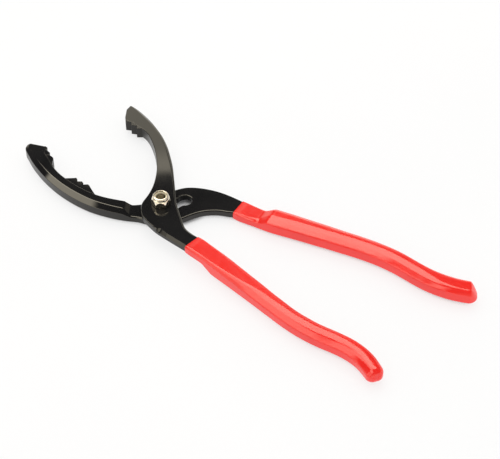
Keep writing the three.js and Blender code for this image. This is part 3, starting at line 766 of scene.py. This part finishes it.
def build_nut():
    radius = NUT_FLAT_R / math.cos(math.pi / 6)
    angles = [i * math.pi / 3 for i in range(6)]
    hexagon = [(radius * math.cos(a), radius * math.sin(a)) for a in angles]
    nut = prism("lock_nut_zinc", hexagon, NUT0 - 0.5, NUT0 + 9.0, corner=0.55, steps=6)
    combine(nut, [lathe("envelope", raised(NUT_ENVELOPE, NUT0), 192)], "INTERSECT")
    combine(nut, [lathe("bore", NUT_BORE, 160)], "DIFFERENCE")
    return tidy(nut)


lower = build_lower()
upper = build_upper()
lower_grip = grip(
    "lower_grip_vinyl", LOWER_CORE, LOWER_CORNERS, tip=4.3, reach=5.6, slant=-0.50
)
upper_grip = grip(
    "upper_grip_vinyl", UPPER_CORE, UPPER_CORNERS, tip=6.2, reach=6.6,
    dimple={"spot": (151.0, -168.0, 10.6), "depth": 0.8, "size": 1.8},
)
bolt = build_bolt()
nut = build_nut()
ring = tidy(lathe("nylon_ring", NYLON_RING, 128), 40)


# ---- materials ---------------------------------------------------------------------
class Nodes:
    """Short hand for building the node tree of a material or world."""

    def __init__(self, owner, output="ShaderNodeOutputMaterial"):
        self.owner = owner
        owner.use_nodes = True
        self.tree = owner.node_tree
        self.tree.nodes.clear()
        self.out = self.tree.nodes.new(output)

    def add(self, kind, inputs=None, **settings):
        """A node; each input is a socket to link from or a plain value."""
        node = self.tree.nodes.new(kind)
        for name, value in settings.items():
            setattr(node, name, value)
        for key, value in (inputs or {}).items():
            if isinstance(value, bpy.types.NodeSocket):
                self.tree.links.new(value, node.inputs[key])
            else:
                node.inputs[key].default_value = value
        return node

    def place(self):
        return self.add("ShaderNodeTexCoord").outputs["Object"]

    def noise(self, scale, detail=3.0, roughness=0.5, vector=None):
        inputs = {"Vector": vector or self.place(), "Scale": scale}
        inputs |= {"Detail": detail, "Roughness": roughness}
        return self.add("ShaderNodeTexNoise", inputs).outputs["Fac"]

    def ramp(self, fac, low, high):
        """Colour ramp between two stops, each (position, colour)."""
        node = self.add("ShaderNodeValToRGB", {"Fac": fac})
        for stop, (position, colour) in zip(node.color_ramp.elements, (low, high)):
            stop.position = position
            stop.color = (*colour, 1)
        return node.outputs["Color"]

    def span(self, value, between, to=(0.0, 1.0), **settings):
        """Maps one range of values to another."""
        inputs = {"Value": value, "From Min": between[0], "From Max": between[1]}
        inputs |= {"To Min": to[0], "To Max": to[1]}
        return self.add("ShaderNodeMapRange", inputs, **settings).outputs["Result"]

    def math(self, operation, a, b=0.0):
        return self.add("ShaderNodeMath", {0: a, 1: b}, operation=operation).outputs[0]

    def times(self, result, *factors):
        for factor in factors:
            result = self.math("MULTIPLY", result, factor)
        return result

    def plus(self, result, *terms):
        for term in terms:
            result = self.math("ADD", result, term)
        return result

    def vector(self, operation, a, b):
        """Number from two vectors."""
        node = self.add("ShaderNodeVectorMath", {0: a, 1: b}, operation=operation)
        return node.outputs["Value"]

    def mix(self, fac, base, colour):
        inputs = {0: fac, 6: base, 7: (*colour, 1)}
        return self.add("ShaderNodeMix", inputs, data_type="RGBA").outputs[2]

    def bump(self, height, distance, strength, normal=None):
        """distance is in millimetres."""
        inputs = {"Height": height, "Distance": distance * MM, "Strength": strength}
        if normal is not None:
            inputs["Normal"] = normal
        return self.add("ShaderNodeBump", inputs).outputs["Normal"]

    def edges(self):
        """0 on flat ground, rising to 1 on the outer edges."""
        bevel = self.add("ShaderNodeBevel", {"Radius": 0.25 * MM}, samples=6)
        normal = self.add("ShaderNodeNewGeometry").outputs["Normal"]
        bent = self.vector("DOT_PRODUCT", bevel.outputs[0], normal)
        return self.span(bent, between=(0.998, 0.955))

    def openness(self, distance, samples):
        """Ambient occlusion within a distance in millimetres: 1 in the open."""
        inputs = {"Distance": distance * MM}
        node = self.add("ShaderNodeAmbientOcclusion", inputs, samples=samples)
        return node.outputs["AO"]

    def surface(self, inputs):
        node = self.add("ShaderNodeBsdfPrincipled", inputs)
        self.tree.links.new(node.outputs[0], self.out.inputs["Surface"])
        return self.owner


def material_nodes(name):
    return Nodes(bpy.data.materials.new(name))


def inside_slot(m):
    """1 within the slot's outline in plan, 0 outside it."""
    # metres from the slot's centre line or end pockets where the mask starts, stops fading
    near, far = 0.0070, 0.0078
    place = m.place()
    c, s = SLOT_DIR
    across = m.vector("DOT_PRODUCT", place, (-s, c, 0.0))
    along = m.vector("DOT_PRODUCT", place, (c, s, 0.0))
    middle = SLOT_LENGTH / 2 * MM
    from_middle = m.math("ABSOLUTE", m.math("SUBTRACT", along, middle))
    return m.times(
        m.span(m.math("ABSOLUTE", across), between=(near, far), to=(1.0, 0.0)),
        m.span(from_middle, between=(middle + near, middle + far), to=(1.0, 0.0)),
    )


def coated_steel():
    m = material_nodes("coated_steel")
    cloud = m.noise(scale=26, detail=4, roughness=0.6)
    grain = m.noise(scale=900, roughness=0.6)
    fine = m.noise(scale=3200, detail=2)
    tone = m.ramp(
        cloud, low=(0.30, (0.0050, 0.0049, 0.0051)), high=(0.72, (0.0105, 0.0100, 0.0098))
    )
    speck = m.span(fine, between=(0.64, 0.80), to=(0.0, 0.30))
    tone = m.mix(speck, tone, colour=(0.028, 0.026, 0.024))
    # edge wear and painted highlight: the outer edges are lightened, broken up by noise
    edge_breakup = m.noise(scale=220, detail=4, roughness=0.65)
    pale_edges = m.times(m.edges(), m.span(edge_breakup, between=(0.42, 0.66), to=(0.05, 0.6)))
    tone = m.mix(pale_edges, tone, colour=(0.11, 0.102, 0.090))
    # the upright walls are duller than the flat faces
    normal = m.add("ShaderNodeNewGeometry").outputs["Normal"]
    upright = m.add("ShaderNodeSeparateXYZ", {0: normal}).outputs[2]
    wall = m.span(m.math("ABSOLUTE", upright), between=(0.50, 0.20))
    patches = m.noise(scale=60, detail=5, roughness=0.6)
    rough = m.plus(
        m.span(patches, between=(0.3, 0.7), to=(0.020, 0.038)),
        m.span(grain, between=(0.45, 0.7), to=(0.0, 0.012)),
        m.times(wall, m.span(grain, between=(0.3, 0.7), to=(0.26, 0.36))),
    )
    # painted shade: the slot's own walls get a near-black colour and little shine, and the shine
    # of recessed corners is damped by ambient occlusion
    slot_wall_shade = m.times(inside_slot(m), wall)
    level = m.times(
        m.span(wall, between=(0.0, 1.0), to=(0.5, 0.26)),
        m.span(slot_wall_shade, between=(0.0, 1.0), to=(1.0, 0.12)),
        m.span(m.openness(distance=9, samples=6), between=(0.28, 0.60), to=(0.04, 1.0)),
    )
    # painted shade: near-black colour on the slot's walls
    tone = m.mix(slot_wall_shade, tone, colour=(0.0040, 0.0040, 0.0042))
    low = m.bump(m.noise(scale=75, detail=2, roughness=0.4), distance=0.12, strength=0.015)
    peel = m.bump(grain, distance=0.012, strength=0.04, normal=low)
    return m.surface({
        "Base Color": tone,
        "Roughness": rough,
        "Normal": peel,
        "Specular IOR Level": level,
        "IOR": 1.60,
        "Metallic": 0.0,
        "Specular Tint": (1.0, 0.97, 0.90, 1.0),
    })


def red_vinyl():
    m = material_nodes("red_vinyl")
    cloud = m.noise(scale=34, detail=4, roughness=0.55)
    tone = m.ramp(cloud, low=(0.28, (0.66, 0.0125, 0.0085)), high=(0.75, (0.76, 0.0195, 0.0125)))
    patches = m.noise(scale=120, detail=4, roughness=0.6)
    low = m.bump(m.noise(scale=110, detail=2, roughness=0.4), distance=0.12, strength=0.10)
    grain = m.noise(scale=1300, roughness=0.55)
    return m.surface({
        "Base Color": tone,
        "Roughness": m.span(patches, between=(0.3, 0.7), to=(0.13, 0.20)),
        "Normal": m.bump(grain, distance=0.03, strength=0.10, normal=low),
        "IOR": 1.54,
        "Subsurface Weight": 0.05,
        "Subsurface Scale": 0.0010,
        "Subsurface Radius": (1.0, 0.2, 0.12),
    })


def plated(name, light, dark, base_rough, turned):
    """Plated metal; turned is the strength of the turning marks round the bolt's axis."""
    m = material_nodes(name)
    cloud = m.noise(scale=260, detail=4, roughness=0.6)
    tone = m.ramp(cloud, low=(0.30, dark), high=(0.70, light))
    x, y, z = m.add("ShaderNodeSeparateXYZ", {0: m.place()}).outputs
    squares = m.plus(m.math("POWER", x, 2.0), m.math("POWER", y, 2.0))
    radius = m.math("POWER", squares, 0.5)
    lines = m.add("ShaderNodeCombineXYZ", {0: radius, 1: z}).outputs[0]
    marks = m.noise(scale=5200, detail=2, roughness=0.6, vector=lines)
    grain = m.noise(scale=2600, roughness=0.6)
    # painted highlight: the edges are lightened
    pale_edges = m.times(m.edges(), 0.6)
    tone = m.mix(pale_edges, tone, colour=tuple(min(1.0, c * 1.18) for c in light))
    patches = m.span(cloud, between=(0.3, 0.7), to=(base_rough, base_rough + 0.10))
    turning = m.bump(marks, distance=0.02, strength=turned)
    return m.surface({
        "Base Color": tone,
        "Roughness": m.plus(patches, m.times(grain, 0.05)),
        "Normal": m.bump(grain, distance=0.02, strength=0.25, normal=turning),
        "Metallic": 1.0,
    })


def nylon():
    m = material_nodes("nylon")
    # the colour is the nylon's tan, darkened as painted shade for its place inside the nut's
    # recess
    cloud = m.noise(scale=500)
    return m.surface({
        "Base Color": m.ramp(cloud, low=(0.3, (0.34, 0.29, 0.18)), high=(0.7, (0.46, 0.40, 0.27))),
        "Roughness": m.span(m.noise(scale=900), between=(0.3, 0.7), to=(0.38, 0.55)),
        "Normal": m.bump(m.noise(scale=2400, roughness=0.6), distance=0.03, strength=0.4),
        "IOR": 1.53,
        "Subsurface Weight": 0.15,
        "Subsurface Scale": 0.0008,
    })


def floor_finish():
    """A glowing floor standing in for a lit sweep, so what stands on it casts little shadow; its
    shadows are painted: for camera rays the glow is dimmed by ambient occlusion in the narrow
    gaps, and dimmed further round a fixed spot at the slot's rest position."""
    m = material_nodes("pale_floor")
    tone = m.ramp(m.noise(scale=3), low=(0.3, (0.13, 0.13, 0.13)), high=(0.7, (0.14, 0.14, 0.14)))
    gap = m.openness(distance=12, samples=8)
    near = m.vector("DISTANCE", m.place(), (0.014, 0.007, 0.0))
    # painted shadow: a mask round a fixed spot at the slot's rest position
    slot = m.span(near, between=(0.012, 0.020), to=(1.0, 0.0))
    # painted contact shadow: the glow dims where ambient occlusion finds narrow gaps
    contact_shadow = m.span(gap, between=(0.06, 0.27), to=(0.22, 0.785))
    # painted shadow on the floor seen through the slot, under the plate
    deep = m.span(gap, between=(0.36, 0.45), to=(0.0, 0.72))
    glow = m.plus(m.times(slot, deep), m.times(m.math("SUBTRACT", 1.0, slot), contact_shadow))
    seen = m.add("ShaderNodeLightPath").outputs["Is Camera Ray"]
    unseen_glow = 1.05  # what every ray but the camera's meets
    lit = m.plus(m.times(seen, glow), m.times(m.math("SUBTRACT", 1.0, seen), unseen_glow))
    cloud = m.noise(scale=2, detail=2)
    return m.surface({
        "Base Color": tone,
        "Emission Color": m.ramp(cloud, low=(0.3, (1, 1, 1)), high=(0.7, (1, 0.998, 0.995))),
        "Emission Strength": lit,
        "Roughness": 0.55,
        "IOR": 1.3,
    })


def dress(obj, material, body, node):
    obj.data.materials.clear()
    obj.data.materials.append(material)
    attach(obj, body)
    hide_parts(node)


steel = coated_steel()
vinyl = red_vinyl()
dress(lower, steel, "lower_arm", "lower_lever")
dress(upper, steel, "upper_arm", "upper_lever")
dress(lower_grip, vinyl, "lower_arm", "lower_grip")
dress(upper_grip, vinyl, "upper_arm", "upper_grip")
nut_finish = plated(
    "plated_nut", light=(0.86, 0.80, 0.69), dark=(0.74, 0.67, 0.54), base_rough=0.13, turned=0.25
)
dress(nut, nut_finish, "pivot", "lock_nut")
# painted shade: the bolt's plating is darkened to stand in for the shade inside the nut, where its
# end shows
shaded_bolt_finish = plated(
    "plated_bolt", light=(0.085, 0.070, 0.040), dark=(0.050, 0.042, 0.026), base_rough=0.34,
    turned=0.4,
)
dress(bolt, shaded_bolt_finish, "pivot", "pivot_bolt")
dress(ring, nylon(), "pivot", "nylon_insert")


# ---- stage, light and camera ---------------------------------------------------------
FLOOR_REACH = 3.5  # metres from the middle to each side
FLOOR_CELLS = 28
FLOOR_X = 66  # millimetres, middle of the floor
FLOOR_Z = -0.02  # millimetres


def build_floor():
    n = FLOOR_CELLS
    steps = [(i / n - 0.5) * 2 * FLOOR_REACH / MM for i in range(n + 1)]
    verts = [((x + FLOOR_X) * MM, y * MM, FLOOR_Z * MM) for y in steps for x in steps]
    corners = [j * (n + 1) + i for j in range(n) for i in range(n)]
    faces = [(a, a + 1, a + n + 2, a + n + 1) for a in corners]
    mesh = bpy.data.meshes.new("studio_floor")
    mesh.from_pydata(verts, [], faces)
    obj = bpy.data.objects.new("studio_floor", mesh)
    bpy.context.scene.collection.objects.link(obj)
    obj.data.materials.append(floor_finish())


# brightness of the world: its soft boxes and ceiling in reflections, and the even white
# that diffuse and camera rays see
BACK, LEFT, ABOVE, SIDE, FRONT, LOW, BASE = 2.02, 3.25, 4.9, 1.5, 0.8, 1.0, 0.065
EVEN = 1.22


def studio():
    """A soft white room. Glossy surfaces see it as a dim ceiling with soft boxes: one low
    behind the tool, one overhead, two on the left, a pale wall on the viewer's side and a
    glow round the horizon. Angles are in degrees."""
    world = bpy.data.worlds.new("studio")
    bpy.context.scene.world = world
    w = Nodes(world, "ShaderNodeOutputWorld")
    direction = w.add("ShaderNodeTexCoord").outputs["Generated"]
    x, y, z = w.add("ShaderNodeSeparateXYZ", {0: direction}).outputs
    to_degrees = 180 / math.pi
    elevation = w.times(w.math("ARCSINE", z), to_degrees)
    azimuth = w.times(w.math("ARCTAN2", x, y), to_degrees)  # 0 is +Y, 90 is +X

    def ease(value, start, end):
        """Smooth rise from 0 at start to 1 at end."""
        return w.span(value, (start, end), interpolation_type="SMOOTHSTEP")

    def window(value, low, high, soft):
        """1 between low and high, with soft borders."""
        rise = ease(value, start=low - soft, end=low + soft)
        return w.times(rise, ease(value, start=high + soft, end=high - soft))

    back = w.times(
        ease(elevation, start=40.72, end=40.42),
        window(azimuth, low=-8.5, high=13, soft=1.2),
        w.plus(w.times(ease(elevation, start=39.5, end=40.2), 0.35), 0.65),  # brighter top
    )
    left = w.times(
        ease(elevation, start=39.5, end=42.5),
        ease(elevation, start=66.3, end=61.7),
        window(azimuth, low=-136, high=-60, soft=4),
    )
    slant = w.math("SUBTRACT", azimuth, w.times(elevation, 3.65))  # slanted right border
    above = w.times(
        window(elevation, low=44.5, high=78, soft=2),
        ease(slant, start=-172, end=-187),
        window(azimuth, low=-60, high=40, soft=4),
    )
    side = w.times(
        window(elevation, low=12, high=41, soft=3),
        window(azimuth, low=-136, high=-92, soft=4),
    )
    front = w.times(
        ease(elevation, start=45, end=25),
        ease(w.math("ABSOLUTE", azimuth), start=138, end=150),
    )
    low = ease(elevation, start=26, end=8)
    levels = (
        (back, BACK), (left, LEFT), (above, ABOVE), (side, SIDE), (front, FRONT), (low, LOW)
    )
    boxes = w.plus(*[w.times(box, level) for box, level in levels])
    total = w.plus(boxes, BASE)

    glossy = w.add("ShaderNodeLightPath").outputs["Is Glossy Ray"]
    strength = w.add("ShaderNodeMix", {0: glossy, 2: EVEN, 3: total}, data_type="FLOAT")
    # the ceiling is cool, the boxes warm
    hue_inputs = {0: w.times(boxes, 4.0), 6: (0.97, 0.97, 1.0, 1), 7: (1.0, 0.94, 0.80, 1)}
    hue = w.add("ShaderNodeMix", hue_inputs, data_type="RGBA").outputs[2]
    colour_inputs = {0: glossy, 6: (1.0, 0.995, 0.985, 1), 7: hue}
    colour = w.add("ShaderNodeMix", colour_inputs, data_type="RGBA").outputs[2]
    sky = w.add("ShaderNodeBackground", {0: colour, 1: strength.outputs[0]})
    w.tree.links.new(sky.outputs[0], w.out.inputs[0])
    world.cycles.sampling_method = "NONE"  # the split by kind of ray holds only without it


def soft_box(name, place, target, size, power):
    """A square area light that glossy surfaces don't see."""
    light = bpy.data.lights.new(name, "AREA")
    light.shape, light.size, light.size_y, light.energy = "RECTANGLE", size, size, power
    obj = bpy.data.objects.new(name, light)
    bpy.context.scene.collection.objects.link(obj)
    obj.location = place
    obj.rotation_mode = "QUATERNION"
    obj.rotation_quaternion = (Vector(target) - Vector(place)).to_track_quat("-Z", "Y")
    obj.visible_glossy = False


def build_camera():
    camera = bpy.data.cameras.new("camera")
    camera.sensor_width = 36
    camera.lens = 100.8
    camera.clip_start, camera.clip_end = 0.05, 30
    view = bpy.data.objects.new("camera", camera)
    scene = bpy.context.scene
    scene.collection.objects.link(view)
    view.location = (0.06614, -0.7752, 0.70955)
    view.rotation_euler = (math.radians(47), 0, 0)
    scene.camera = view
    scene.view_settings.view_transform = "Standard"
    scene.view_settings.look = "None"


build_floor()
studio()
soft_box("overhead", place=(-0.15, 0.35, 1.6), target=(0.06, -0.02, 0), size=1.6, power=5.0)
build_camera()

bpy.context.view_layer.update()
